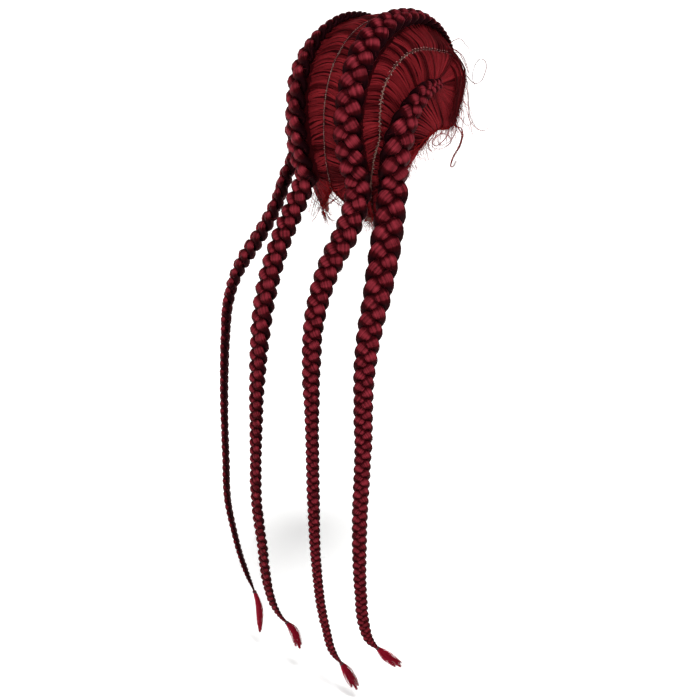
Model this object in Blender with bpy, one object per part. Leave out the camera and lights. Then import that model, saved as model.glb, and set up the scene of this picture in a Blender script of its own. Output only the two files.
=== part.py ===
"""A burgundy lace wig with four long raised plaits, in the form that a head gives it.

The origin is the inside of the crown, where the head sits. The face looks along -Y, up is +Z,
and the wearer's right is -X. Lengths are in metres and angles in degrees.
"""

import math
from types import SimpleNamespace

import bmesh
import bpy
from mathutils import Vector

# The head that fills the cap. Its widest level lies CROWN_HEIGHT below the origin, and below that
# it runs into an upright neck, where the hair of the nape lies.
HEAD_HALF_WIDTH = 0.0765
HEAD_FRONT = 0.0955
HEAD_BACK = 0.098
CROWN_HEIGHT = 0.102
NAPE_DEPTH = 0.131
HEAD_SQUARENESS = 2.2
NECK_HALF_WIDTH = 0.058
NECK_BACK = 0.064
NECK_BLEND = 10

# The lace base and the hair combed flat over it
LACE_THICKNESS = 0.0012
HAIR_THICKNESS = 0.0028
SEAT_GAP = 0.0006
PARTING_WIDTH = 0.0022
HAIRLINE_MARGIN = 0.0025
EDGE_FULLNESS = 0.35
EDGE_RISE_ACROSS = 2.2
EDGE_RISE_ALONG = 4.0

# The four plaits: full width on the head, then how far each hangs, sways and stands off the back
RIGHT_INNER_WIDTH = 0.031
RIGHT_INNER_HANG = 0.599
RIGHT_INNER_SWAY = 0.035
RIGHT_INNER_STAND_OFF = 0.045
RIGHT_OUTER_WIDTH = 0.0345
RIGHT_OUTER_HANG = 0.548
RIGHT_OUTER_SWAY = 0.025
RIGHT_OUTER_STAND_OFF = 0.068
LEFT_INNER_WIDTH = 0.030
LEFT_INNER_HANG = 0.573
LEFT_INNER_SWAY = 0.050
LEFT_INNER_STAND_OFF = 0.040
LEFT_OUTER_WIDTH = 0.027
LEFT_OUTER_HANG = 0.583
LEFT_OUTER_SWAY = 0.085
LEFT_OUTER_STAND_OFF = 0.043

# A plait's section and stitches, as shares of its local width, and where the stitches get too fine
PLAIT_THICKNESS = 0.64
STITCH_PITCH = 0.58
STITCH_BULGE = 0.09
STITCHED_WIDTH = 0.0185
FINEST_STITCH = 0.0035
PLAIN_STEP = 0.022
SEAT_CLEARANCE = 0.0008

# The pinched end of each plait, the elastic round it and the loose hair below. A lock starts
# straight for a share of its length, and its profile runs from the elastic to its tip.
PINCH_DIAMETER = 0.0036
ELASTIC_THICKNESS = 0.0009
ELASTIC_CLEARANCE = 0.0003
TUFT_SPREAD = 0.007
TUFT_DIAMETER = 0.0062
LOCK_STRAIGHT = 0.3
LOCK_PROFILE = (0.54, 0.9, 1.0, 0.8, 0.48, 0.14)

# Facets
CAP_SEGMENTS = 44
CAP_ROWS = 9
SECTION_COLUMNS = 27
SECTION_ROWS = 7
PLAIT_SIDES = 8
LOCK_SIDES = 6
ELASTIC_SEGMENTS = 12
ELASTIC_SIDES = 6
SPLINE_STEPS = 24
HEADING_STEP = 0.002
UNDERSIDE = math.cos(math.pi / PLAIT_SIDES)

# Colours
HAIR_COLOUR = (0.13, 0.006, 0.014, 1.0)
LACE_COLOUR = (0.36, 0.17, 0.14, 1.0)
ELASTIC_COLOUR = (0.012, 0.006, 0.007, 1.0)


def table(columns, *rows):
    """Rows with named columns."""
    names = columns.split()
    return [SimpleNamespace(**dict(zip(names, row))) for row in rows]


# The cap's edge on the wearer's left, from the middle of the forehead to the middle of the nape:
# degrees round from the face, and degrees above the head's widest level.
CAP_EDGE = table(
    "around rise",
    (0, 31),
    (20, 30),
    (36, 26.5),
    (45, 18),
    (51, 9),
    (57, 0),
    (64, -8),
    (75, -10.5),
    (90, -9),
    (101, -14),
    (110, -21),
    (120, -32),
    (132, -44),
    (142, -53.5),
    (150, -59.5),
    (157, -57.5),
    (164, -52.5),
    (173, -45.5),
    (180, -41.5),
)

# The side parting on the wearer's left, from the forehead over the head to the nape: degrees
# turned up and back from the face, and degrees to the side of the middle.
SIDE_PARTING = table(
    "turn side",
    (34, 33),
    (49, 36),
    (69, 39),
    (85, 38.5),
    (105, 36.5),
    (130, 35.5),
    (150, 35.5),
    (170, 37),
    (188, 37),
    (205, 31),
    (222, 24),
    (232, 20),
    (241, 17),
)

# The plaits on the head: turn and side as above, and the share of the plait's full width.
RIGHT_INNER_ON_HEAD = table(
    "turn side width",
    (41, 22, 0.26),
    (49, 20.5, 0.36),
    (61, 19, 0.50),
    (76, 17.5, 0.64),
    (92, 17, 0.78),
    (112, 17, 0.93),
    (131, 17.5, 1.0),
    (150, 18.5, 1.0),
    (168, 19, 1.0),
    (183, 19, 1.0),
    (195, 19.5, 1.0),
    (205, 20, 0.98),
    (214, 20, 0.96),
)
LEFT_INNER_ON_HEAD = table(
    "turn side width",
    (41, 24, 0.26),
    (49, 23.5, 0.34),
    (61, 23.5, 0.41),
    (76, 23.5, 0.48),
    (92, 23, 0.56),
    (112, 22, 0.66),
    (131, 21, 0.81),
    (150, 20.5, 0.96),
    (168, 20, 1.0),
    (183, 18.5, 1.0),
    (195, 16.5, 1.0),
    (205, 14.5, 1.0),
    (214, 13, 0.97),
)
OUTER_ON_HEAD = table(
    "turn side width",
    (86, 62, 0.28),
    (100, 63, 0.38),
    (120, 60.5, 0.52),
    (139, 58, 0.64),
    (156, 55, 0.72),
    (168, 52.5, 0.82),
    (181, 49.5, 0.94),
    (192, 46.5, 1.0),
    (202, 43.5, 1.0),
    (212, 40, 1.0),
    (224, 35.5, 1.0),
)

# The plaits below the head, from where they leave it to the elastic. Sway is to the wearer's
# left and back is away from the body, as shares of the plait's own sway and stand-off. Drop is
# the share of its hang, and width the share of its full width.
RIGHT_INNER_HANGING = table(
    "sway back drop width",
    (0.0, 0.07, 0.035, 0.96),
    (0.23, 0.22, 0.09, 0.945),
    (0.66, 0.42, 0.15, 0.90),
    (0.91, 0.60, 0.21, 0.85),
    (1.0, 0.78, 0.27, 0.78),
    (0.97, 0.91, 0.345, 0.72),
    (0.86, 1.0, 0.46, 0.565),
    (0.83, 1.0, 0.62, 0.51),
    (0.83, 0.91, 0.765, 0.42),
    (0.74, 0.64, 0.915, 0.38),
    (0.51, 0.49, 0.98, 0.29),
    (0.30, 0.38, 1.0, 0.11),
    (-0.16, 0.27, 1.043, 0.0),
)
RIGHT_OUTER_HANGING = table(
    "sway back drop width",
    (-0.10, 0.09, 0.03, 1.0),
    (-0.28, 0.26, 0.09, 1.0),
    (-0.50, 0.49, 0.15, 0.965),
    (-0.60, 0.68, 0.21, 0.90),
    (-0.56, 0.82, 0.275, 0.83),
    (-0.52, 0.93, 0.35, 0.715),
    (-0.60, 1.0, 0.52, 0.58),
    (-0.40, 1.0, 0.715, 0.51),
    (-0.36, 0.94, 0.87, 0.43),
    (-0.38, 0.85, 0.95, 0.40),
    (-0.58, 0.79, 0.985, 0.30),
    (-0.96, 0.74, 1.0, 0.11),
    (-2.12, 0.63, 1.03, 0.0),
)
LEFT_INNER_HANGING = table(
    "sway back drop width",
    (0.14, 0.03, 0.03, 0.95),
    (0.30, 0.10, 0.065, 0.92),
    (0.62, 0.28, 0.14, 0.92),
    (0.88, 0.53, 0.24, 0.96),
    (0.92, 0.73, 0.315, 0.92),
    (0.95, 0.88, 0.41, 0.78),
    (0.98, 0.98, 0.565, 0.61),
    (1.0, 0.98, 0.70, 0.57),
    (0.93, 0.88, 0.80, 0.535),
    (0.92, 0.65, 0.915, 0.49),
    (0.88, 0.48, 0.96, 0.40),
    (0.72, 0.34, 0.99, 0.22),
    (0.60, 0.28, 1.0, 0.12),
    (0.26, 0.15, 1.056, 0.0),
)
LEFT_OUTER_HANGING = table(
    "sway back drop width",
    (0.15, 0.14, 0.07, 0.96),
    (0.21, 0.26, 0.107, 0.93),
    (0.32, 0.37, 0.144, 0.94),
    (0.50, 0.49, 0.19, 0.96),
    (0.79, 0.60, 0.253, 0.90),
    (0.98, 0.72, 0.332, 0.82),
    (1.0, 0.84, 0.407, 0.71),
    (1.0, 0.95, 0.507, 0.66),
    (0.99, 1.0, 0.675, 0.59),
    (0.97, 1.0, 0.79, 0.56),
    (0.90, 0.95, 0.848, 0.50),
    (0.82, 0.86, 0.91, 0.45),
    (0.74, 0.72, 0.964, 0.36),
    (0.66, 0.63, 1.0, 0.13),
    (0.63, 0.49, 1.104, 0.0),
)

# The locks of a tuft: how far each tip leans across and outwards, as shares of TUFT_SPREAD, how
# far it reaches, as a share of the tuft's length, and its share of TUFT_DIAMETER.
TUFT_LOCKS = table(
    "across outward reach stout",
    (0.0, 0.1, 1.0, 1.0),
    (0.8, 0.3, 0.86, 0.72),
    (-0.7, -0.3, 0.93, 0.72),
)

# Each plait: side is 1 on the wearer's left, and facing is how many degrees its flat face turns
# from straight back towards the wearer's left where it hangs.
PLAITS = (
    SimpleNamespace(
        name="right_inner",
        side=-1,
        on_head=RIGHT_INNER_ON_HEAD,
        hanging=RIGHT_INNER_HANGING,
        width=RIGHT_INNER_WIDTH,
        hang=RIGHT_INNER_HANG,
        sway=RIGHT_INNER_SWAY,
        stand_off=RIGHT_INNER_STAND_OFF,
        facing=-15,
    ),
    SimpleNamespace(
        name="right_outer",
        side=-1,
        on_head=OUTER_ON_HEAD,
        hanging=RIGHT_OUTER_HANGING,
        width=RIGHT_OUTER_WIDTH,
        hang=RIGHT_OUTER_HANG,
        sway=RIGHT_OUTER_SWAY,
        stand_off=RIGHT_OUTER_STAND_OFF,
        facing=-35,
    ),
    SimpleNamespace(
        name="left_inner",
        side=1,
        on_head=LEFT_INNER_ON_HEAD,
        hanging=LEFT_INNER_HANGING,
        width=LEFT_INNER_WIDTH,
        hang=LEFT_INNER_HANG,
        sway=LEFT_INNER_SWAY,
        stand_off=LEFT_INNER_STAND_OFF,
        facing=8,
    ),
    SimpleNamespace(
        name="left_outer",
        side=1,
        on_head=OUTER_ON_HEAD[:-1],
        hanging=LEFT_OUTER_HANGING,
        width=LEFT_OUTER_WIDTH,
        hang=LEFT_OUTER_HANG,
        sway=LEFT_OUTER_SWAY,
        stand_off=LEFT_OUTER_STAND_OFF,
        facing=48,
    ),
)


def clear_scene():
    for item in list(bpy.data.objects):
        bpy.data.objects.remove(item, do_unlink=True)


def plain_material(name, colour, roughness):
    """A plain surface of one colour."""
    material = bpy.data.materials.new(name)
    material.use_nodes = True
    shader = material.node_tree.nodes["Principled BSDF"]
    shader.inputs["Base Color"].default_value = colour
    shader.inputs["Roughness"].default_value = roughness
    shader.inputs["Metallic"].default_value = 0.0
    material.diffuse_color = colour
    return material


def add_object(name, mesh_data, material):
    """An object of this name, with smooth faces, linked into the scene."""
    mesh = bpy.data.meshes.new(name)
    mesh_data.normal_update()
    mesh_data.to_mesh(mesh)
    mesh_data.free()
    mesh.materials.append(material)
    mesh.shade_smooth()
    item = bpy.data.objects.new(name, mesh)
    bpy.context.collection.objects.link(item)
    return item


def turned(turn, side):
    """The direction turned up and back from the face, then to the wearer's left."""
    lift, lean = math.radians(turn), math.radians(side)
    return Vector((math.sin(lean), -math.cos(lean) * math.cos(lift), math.cos(lean) * math.sin(lift)))


def rounded(around, rise):
    """The direction this far round from the face, then up."""
    way, up = math.radians(around), math.radians(rise)
    return Vector((math.sin(way) * math.cos(up), -math.cos(way) * math.cos(up), math.sin(up)))


def half_axes(direction, lift):
    """The head form's half axes on this side of it, grown by lift."""
    depth = HEAD_FRONT if direction.y < 0 else HEAD_BACK
    height = CROWN_HEIGHT if direction.z > 0 else NAPE_DEPTH
    return HEAD_HALF_WIDTH + lift, depth + lift, height + lift


def head_point(direction, lift):
    """The point of the head form, grown by lift, in this direction from its middle."""
    axes = half_axes(direction, lift)
    total = sum(abs(part / axis) ** HEAD_SQUARENESS for part, axis in zip(direction, axes))
    reach = total ** (-1 / HEAD_SQUARENESS)
    if direction.z < 0:
        sideways = direction.x / (NECK_HALF_WIDTH + lift)
        neck = 1 / math.hypot(sideways, direction.y / (NECK_BACK + lift))
        reach = (reach**NECK_BLEND + neck**NECK_BLEND) ** (1 / NECK_BLEND)
    return direction * reach - Vector((0, 0, CROWN_HEIGHT))


def head_normal(direction, lift):
    """The form's outward normal there."""
    axes = half_axes(direction, lift)
    point = head_point(direction, lift) + Vector((0, 0, CROWN_HEIGHT))
    slope = [
        math.copysign(abs(part / axis) ** (HEAD_SQUARENESS - 1), part) / axis
        for part, axis in zip(point, axes)
    ]
    return Vector(slope).normalized()


def spline(knots, steps):
    """Points of a smooth curve through the knots, whose first three numbers are a place."""
    gaps = [(Vector(b[:3]) - Vector(a[:3])).length for a, b in zip(knots, knots[1:])]
    rates = [(b - a) / gap for a, b, gap in zip(knots, knots[1:], gaps)]
    slopes = [rates[0]]
    for before, after, gap_before, gap_after in zip(rates, rates[1:], gaps, gaps[1:]):
        slopes.append((before * gap_after + after * gap_before) / (gap_before + gap_after))
    slopes.append(rates[-1])
    points = []
    for k, gap in enumerate(gaps):
        for step in range(steps):
            t = step / steps
            blend = t * t * (3 - 2 * t)
            point = knots[k] * (1 - blend) + knots[k + 1] * blend
            point += slopes[k] * (gap * t * (1 - t) ** 2) - slopes[k + 1] * (gap * t * t * (1 - t))
            points.append(point)
    return [*points, knots[-1]]


def lengths_along(points):
    """How far along the line each point lies, by its first three numbers."""
    total = [0.0]
    for start, end in zip(points, points[1:]):
        total.append(total[-1] + (Vector(end[:3]) - Vector(start[:3])).length)
    return total


def point_at(points, lengths, distance):
    """The point of the line that lies this far along it."""
    for start, end, low, high in zip(points, points[1:], lengths, lengths[1:]):
        if distance <= high:
            return start.lerp(end, (distance - low) / (high - low))
    return points[-1]


def evenly(knots, count):
    """Evenly spaced points of the smooth curve through the knots."""
    points = spline(knots, SPLINE_STEPS)
    lengths = lengths_along(points)
    return [point_at(points, lengths, lengths[-1] * k / (count - 1)) for k in range(count)]


def mirrored(directions, side):
    return [Vector((side * way.x, way.y, way.z)) for way in directions]


def edge_directions():
    """The cap's whole edge, from the forehead round by the wearer's left and back."""
    half = evenly([rounded(row.around, row.rise) for row in CAP_EDGE], CAP_SEGMENTS // 2 + 1)
    return half + mirrored(half[-2:0:-1], -1)


def lace_cap(material):
    """The hollow base: its edge runs along the hairline, over the ears and round the nape."""
    mesh_data = bmesh.new()
    edge = edge_directions()
    crown = Vector((0, 0, 1))
    rows = []
    for row in range(CAP_ROWS):
        share = row / CAP_ROWS
        ways = [way.normalized().slerp(crown, share) for way in edge]
        rows.append([mesh_data.verts.new(head_point(way, LACE_THICKNESS)) for way in ways])
    top = mesh_data.verts.new(head_point(crown, LACE_THICKNESS))
    for low, high in zip(rows, rows[1:]):
        for k in range(CAP_SEGMENTS):
            after = (k + 1) % CAP_SEGMENTS
            mesh_data.faces.new((low[k], low[after], high[after], high[k]))
    for k in range(CAP_SEGMENTS):
        mesh_data.faces.new((rows[-1][k], rows[-1][(k + 1) % CAP_SEGMENTS], top))
    cap = add_object("lace_cap", mesh_data, material)
    wall = cap.modifiers.new("wall", "SOLIDIFY")
    wall.thickness = LACE_THICKNESS
    wall.offset = -1
    return cap


def pulled_in(way, towards, distance):
    """The direction moved this far over the head towards another one."""
    angle = way.angle(towards)
    reach = head_point(way, 0) + Vector((0, 0, CROWN_HEIGHT))
    return way.slerp(towards, min(distance / (reach.length * angle), 1.0))


def middle_line():
    """The middle parting, from the forehead to the nape."""
    forehead = turned(CAP_EDGE[0].rise, 0)
    crown = Vector((0, 0, 1))
    behind = Vector((0, -forehead.y, forehead.z))
    nape = rounded(180, CAP_EDGE[-1].rise)
    return [way.normalized() for way in evenly([forehead, crown, behind, nape], SECTION_COLUMNS)]


def parting_line(side):
    """The side parting, from the forehead to the nape."""
    ways = evenly([turned(row.turn, row.side) for row in SIDE_PARTING], SECTION_COLUMNS)
    return mirrored([way.normalized() for way in ways], side)


def outer_edge_line(side):
    """The cap's edge from the side parting's front end to its nape end."""
    ends = [turned(row.turn, row.side) for row in (SIDE_PARTING[0], SIDE_PARTING[-1])]
    front, back = (math.atan2(way.x, -way.y) for way in ends)
    whole = spline([rounded(row.around, row.rise) for row in CAP_EDGE], SPLINE_STEPS)
    kept = [way for way in whole if front < math.atan2(way.x, -way.y) < back]
    lengths = lengths_along(kept)
    steps = [lengths[-1] * k / (SECTION_COLUMNS - 1) for k in range(SECTION_COLUMNS)]
    return mirrored([point_at(kept, lengths, step).normalized() for step in steps], side)


def hair_section(name, upper, lower, upper_margin, lower_margin, material):
    """Combed hair between two lines over the head, thinner along its edges."""
    mesh_data = bmesh.new()
    layer = mesh_data.verts.layers.deform.verify()
    seat = LACE_THICKNESS + SEAT_GAP
    rows = []
    for row in range(SECTION_ROWS):
        share = row / (SECTION_ROWS - 1)
        line = []
        for column, (start, end) in enumerate(zip(upper, lower)):
            inner_start = pulled_in(start, end, upper_margin)
            inner_end = pulled_in(end, start, lower_margin)
            vertex = mesh_data.verts.new(head_point(inner_start.slerp(inner_end, share), seat))
            across = math.sin(math.pi * share)
            along = math.sin(math.pi * column / (SECTION_COLUMNS - 1))
            fullness = min(1.0, EDGE_RISE_ACROSS * across, EDGE_RISE_ALONG * along)
            vertex[layer][0] = EDGE_FULLNESS + (1 - EDGE_FULLNESS) * fullness
            line.append(vertex)
        rows.append(line)
    for high, low in zip(rows, rows[1:]):
        for k in range(SECTION_COLUMNS - 1):
            mesh_data.faces.new((high[k], low[k], low[k + 1], high[k + 1]))
    middle = rows[SECTION_ROWS // 2][SECTION_COLUMNS // 2]
    mesh_data.normal_update()
    if middle.normal.dot(middle.co + Vector((0, 0, CROWN_HEIGHT))) < 0:
        bmesh.ops.reverse_faces(mesh_data, faces=mesh_data.faces)
    section = add_object(name, mesh_data, material)
    section.vertex_groups.new(name="fullness")
    wall = section.modifiers.new("wall", "SOLIDIFY")
    wall.thickness = HAIR_THICKNESS
    wall.offset = 1
    wall.vertex_group = "fullness"
    return section


def hair_sections(material):
    for word, side in (("right", -1), ("left", 1)):
        parting = parting_line(side)
        half = PARTING_WIDTH / 2
        edge = outer_edge_line(side)
        hair_section(f"hair_section_{word}_inner", middle_line(), parting, half, half, material)
        hair_section(f"hair_section_{word}_outer", parting, edge, half, HAIRLINE_MARGIN, material)


def plait_knots(plait):
    """The plait's line as vectors of place, face direction and width. The last is its tuft's tip."""
    seat = LACE_THICKNESS + SEAT_GAP + HAIR_THICKNESS
    knots = []
    for row in plait.on_head:
        way = turned(row.turn, plait.side * row.side)
        width = row.width * plait.width
        normal = head_normal(way, seat)
        rise = SEAT_CLEARANCE + UNDERSIDE * PLAIT_THICKNESS * width / 2
        place = head_point(way, seat) + normal * rise
        knots.append(Vector((*place, *normal, width)))
    leaves = Vector(knots[-1][:3])
    angle = math.radians(plait.facing)
    face = Vector((math.sin(angle), math.cos(angle), 0))
    for row in plait.hanging:
        shift = Vector((row.sway * plait.sway, row.back * plait.stand_off, -row.drop * plait.hang))
        knots.append(Vector((*(leaves + shift), *face, row.width * plait.width)))
    return knots


def axes_along(points, lengths, distance):
    """Place, direction along, face direction and sideways direction, this far along the line."""
    here = point_at(points, lengths, distance)
    ahead = point_at(points, lengths, min(distance + HEADING_STEP, lengths[-1]))
    behind = point_at(points, lengths, max(distance - HEADING_STEP, 0.0))
    along = (Vector(ahead[:3]) - Vector(behind[:3])).normalized()
    face = Vector(here[3:6])
    face = (face - along * face.dot(along)).normalized()
    return here, along, face, along.cross(face)


def stations(points, lengths, end):
    """Distances of a plait's rings: two to a stitch, and wider apart where stitches get fine."""
    found = [0.0]
    while found[-1] < end:
        width = point_at(points, lengths, found[-1])[6]
        half_stitch = max(STITCH_PITCH * width / 2, FINEST_STITCH)
        found.append(found[-1] + (half_stitch if width > STITCHED_WIDTH else PLAIN_STEP))
    spare = found.pop() - end
    if spare > (found[-1] - found[-2]) / 2:
        found.pop()
    return [*found, end]


def ringed_solid(name, rings, material):
    """A closed solid through rings of points, with flat ends."""
    mesh_data = bmesh.new()
    loops = [[mesh_data.verts.new(point) for point in ring] for ring in rings]
    count = len(rings[0])
    for low, high in zip(loops, loops[1:]):
        for k in range(count):
            mesh_data.faces.new((low[k], low[(k + 1) % count], high[(k + 1) % count], high[k]))
    mesh_data.faces.new(loops[0][::-1])
    mesh_data.faces.new(loops[-1])
    bmesh.ops.recalc_face_normals(mesh_data, faces=mesh_data.faces)
    return add_object(name, mesh_data, material)


def braid(plait, points, lengths, end, material):
    """One plait as a solid, with a bulge to each side in turn at every stitch."""
    rings = []
    for number, distance in enumerate(stations(points, lengths, end)):
        here, along, face, sideways = axes_along(points, lengths, distance)
        width = max(here[6], PINCH_DIAMETER)
        thickness = max(PLAIT_THICKNESS * width, PINCH_DIAMETER)
        bulge = STITCH_BULGE * (-1) ** number if here[6] > STITCHED_WIDTH else 0.0
        ring = []
        for k in range(PLAIT_SIDES):
            angle = 2 * math.pi * (k + 0.5) / PLAIT_SIDES
            swell = 1 + math.copysign(1, math.cos(angle)) * bulge
            reach = math.cos(angle) * swell * width / 2
            ring.append(
                Vector(here[:3]) + sideways * reach + face * (math.sin(angle) * thickness / 2)
            )
        rings.append(ring)
    return ringed_solid(f"braid_{plait.name}", rings, material)


def elastic(plait, place, along, material):
    """The small elastic ring round the pinched end."""
    bore = PINCH_DIAMETER / 2 + ELASTIC_CLEARANCE
    bpy.ops.mesh.primitive_torus_add(
        major_segments=ELASTIC_SEGMENTS,
        minor_segments=ELASTIC_SIDES,
        major_radius=bore / math.cos(math.pi / ELASTIC_SEGMENTS) + ELASTIC_THICKNESS / 2,
        minor_radius=ELASTIC_THICKNESS / 2,
        location=place,
        rotation=along.to_track_quat("Z", "Y").to_euler(),
    )
    ring = bpy.context.object
    ring.name = f"tie_{plait.name}"
    ring.data.name = ring.name
    ring.data.materials.append(material)
    ring.data.shade_smooth()


def lock_rings(start, along, tip, stout):
    """Rings of one lock that leaves the elastic along the plait and ends at its tip."""
    straight = start + along * ((tip - start).length * LOCK_STRAIGHT)
    line = evenly([start, straight, tip], len(LOCK_PROFILE))
    turns = [2 * math.pi * k / LOCK_SIDES for k in range(LOCK_SIDES)]
    rings = []
    for before, place, after, share in zip(line[:1] + line, line, line[1:] + line[-1:], LOCK_PROFILE):
        heading = (after - before).normalized()
        sideways = heading.orthogonal().normalized()
        outwards = heading.cross(sideways)
        radius = share * stout / 2
        rings.append(
            [place + (sideways * math.cos(turn) + outwards * math.sin(turn)) * radius for turn in turns]
        )
    return rings


def tuft(plait, points, lengths, end, material):
    """The loose hair below the elastic: locks fused into one head."""
    _, along, face, sideways = axes_along(points, lengths, end)
    start = Vector(point_at(points, lengths, end)[:3]) + along * ELASTIC_CLEARANCE
    tip = Vector(points[-1][:3])
    locks = []
    for number, row in enumerate(TUFT_LOCKS):
        lean = (sideways * row.across + face * row.outward) * TUFT_SPREAD
        reach = start.lerp(tip, row.reach) + lean
        rings = lock_rings(start, along, reach, row.stout * TUFT_DIAMETER)
        name = f"tuft_{plait.name}" if number == 0 else f"lock_{plait.name}_{number}"
        locks.append(ringed_solid(name, rings, material))
    for lock in locks[1:]:
        fuse = locks[0].modifiers.new(lock.name, "BOOLEAN")
        fuse.operation = "UNION"
        fuse.object = lock
        lock.hide_render = True
        lock.display_type = "WIRE"


def plaits(hair, rubber):
    for plait in PLAITS:
        knots = plait_knots(plait)
        points = spline(knots, SPLINE_STEPS)
        lengths = lengths_along(points)
        end = lengths[(len(knots) - 2) * SPLINE_STEPS]
        braid(plait, points, lengths, end, hair)
        here, along, _, _ = axes_along(points, lengths, end)
        elastic(plait, Vector(here[:3]), along, rubber)
        tuft(plait, points, lengths, end, hair)


def main():
    clear_scene()
    hair = plain_material("burgundy hair", HAIR_COLOUR, 0.45)
    lace = plain_material("lace", LACE_COLOUR, 0.8)
    rubber = plain_material("black elastic", ELASTIC_COLOUR, 0.5)
    lace_cap(lace)
    hair_sections(hair)
    plaits(hair, rubber)


main()
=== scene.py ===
"""The looks of a burgundy lace wig with four long raised plaits, built round its solids.

The origin is the inside of the crown. The face looks along -Y, up is +Z, and the wearer's right
is -X. Lengths are in metres and angles in degrees.
"""

import math
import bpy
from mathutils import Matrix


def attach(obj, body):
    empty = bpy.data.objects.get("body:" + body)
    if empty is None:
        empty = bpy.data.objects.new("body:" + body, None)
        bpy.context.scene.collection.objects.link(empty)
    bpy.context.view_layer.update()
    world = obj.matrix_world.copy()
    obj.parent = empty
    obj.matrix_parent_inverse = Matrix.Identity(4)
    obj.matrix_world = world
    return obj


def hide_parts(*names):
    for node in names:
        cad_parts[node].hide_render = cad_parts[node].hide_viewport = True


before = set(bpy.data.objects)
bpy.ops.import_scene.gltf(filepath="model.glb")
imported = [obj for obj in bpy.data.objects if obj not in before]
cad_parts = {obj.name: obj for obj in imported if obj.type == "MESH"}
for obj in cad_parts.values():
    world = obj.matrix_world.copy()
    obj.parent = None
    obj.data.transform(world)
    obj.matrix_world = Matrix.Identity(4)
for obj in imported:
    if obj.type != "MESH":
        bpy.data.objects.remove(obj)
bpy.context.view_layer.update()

from types import SimpleNamespace

import bpy
import numpy as np

# The head form and the layers on it, with the sizes that the solids have
HEAD_HALF_WIDTH = 0.0765
HEAD_FRONT = 0.0955
HEAD_BACK = 0.098
CROWN_HEIGHT = 0.102
NAPE_DEPTH = 0.131
HEAD_SQUARENESS = 2.2
NECK_HALF_WIDTH = 0.058
NECK_BACK = 0.064
NECK_BLEND = 10
LACE_THICKNESS = 0.0012
HAIR_THICKNESS = 0.0028
SEAT_GAP = 0.0006
PARTING_WIDTH = 0.0022
HAIRLINE_MARGIN = 0.0025
EDGE_FULLNESS = 0.35
EDGE_RISE_ACROSS = 2.2
EDGE_RISE_ALONG = 4.0
TEMPLE_FULLNESS = 0.0055
TEMPLE_CENTRE = (50, 26)
TEMPLE_REACH = 30
PLAIT_THICKNESS = 0.64
SEAT_CLEARANCE = 0.0008
UNDERSIDE = math.cos(math.pi / 8)
PINCH_DIAMETER = 0.0036
TUFT_SPREAD = 0.007
SPLINE_STEPS = 60

# The cap's edge on the wearer's left: degrees round from the face, and up
CAP_EDGE = (
    (0, 31), (20, 30), (36, 26.5), (45, 18), (51, 9), (57, 0), (64, -8), (75, -10.5), (90, -9),
    (101, -14), (110, -21), (120, -32), (132, -44), (142, -53.5), (150, -59.5), (157, -57.5),
    (164, -52.5), (173, -45.5), (180, -41.5),
)

# The side parting on the wearer's left: degrees turned up and back from the face, and sideways
SIDE_PARTING = (
    (34, 33), (49, 36), (69, 39), (85, 38.5), (105, 36.5), (130, 35.5), (150, 35.5), (170, 37),
    (188, 37), (205, 31), (222, 24), (232, 20), (241, 17),
)

# The plaits on the head: turn, side, and the share of the plait's full width
RIGHT_INNER_ON_HEAD = (
    (41, 22, 0.26), (49, 20.5, 0.36), (61, 19, 0.50), (76, 17.5, 0.64), (92, 17, 0.78),
    (112, 17, 0.93), (131, 17.5, 1.0), (150, 18.5, 1.0), (168, 19, 1.0), (183, 19, 1.0),
    (195, 19.5, 1.0), (205, 20, 0.98), (214, 20, 0.96),
)
LEFT_INNER_ON_HEAD = (
    (41, 24, 0.26), (49, 23.5, 0.34), (61, 23.5, 0.41), (76, 23.5, 0.48), (92, 23, 0.56),
    (112, 22, 0.66), (131, 21, 0.81), (150, 20.5, 0.96), (168, 20, 1.0), (183, 18.5, 1.0),
    (195, 16.5, 1.0), (205, 14.5, 1.0), (214, 13, 0.97),
)
OUTER_ON_HEAD = (
    (86, 62, 0.28), (100, 63, 0.38), (120, 60.5, 0.52), (139, 58, 0.64), (156, 55, 0.72),
    (168, 52.5, 0.82), (181, 49.5, 0.94), (192, 46.5, 1.0), (202, 43.5, 1.0), (212, 40, 1.0),
    (224, 35.5, 1.0),
)

# The plaits below the head, as shares: sway, back and drop from where they leave it, and width
RIGHT_INNER_HANGING = (
    (0.0, 0.07, 0.035, 0.96), (0.23, 0.22, 0.09, 0.945), (0.66, 0.42, 0.15, 0.90),
    (0.91, 0.60, 0.21, 0.85), (1.0, 0.78, 0.27, 0.78), (0.97, 0.91, 0.345, 0.72),
    (0.86, 1.0, 0.46, 0.565), (0.83, 1.0, 0.62, 0.51), (0.83, 0.91, 0.765, 0.42),
    (0.74, 0.64, 0.915, 0.38), (0.51, 0.49, 0.98, 0.29), (0.30, 0.38, 1.0, 0.11),
    (-0.16, 0.27, 1.043, 0.0),
)
RIGHT_OUTER_HANGING = (
    (-0.10, 0.09, 0.03, 1.0), (-0.28, 0.26, 0.09, 1.0), (-0.50, 0.49, 0.15, 0.965),
    (-0.60, 0.68, 0.21, 0.90), (-0.56, 0.82, 0.275, 0.83), (-0.52, 0.93, 0.35, 0.715),
    (-0.60, 1.0, 0.52, 0.58), (-0.40, 1.0, 0.715, 0.51), (-0.36, 0.94, 0.87, 0.43),
    (-0.38, 0.85, 0.95, 0.40), (-0.58, 0.79, 0.985, 0.30), (-0.96, 0.74, 1.0, 0.11),
    (-2.12, 0.63, 1.03, 0.0),
)
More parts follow.
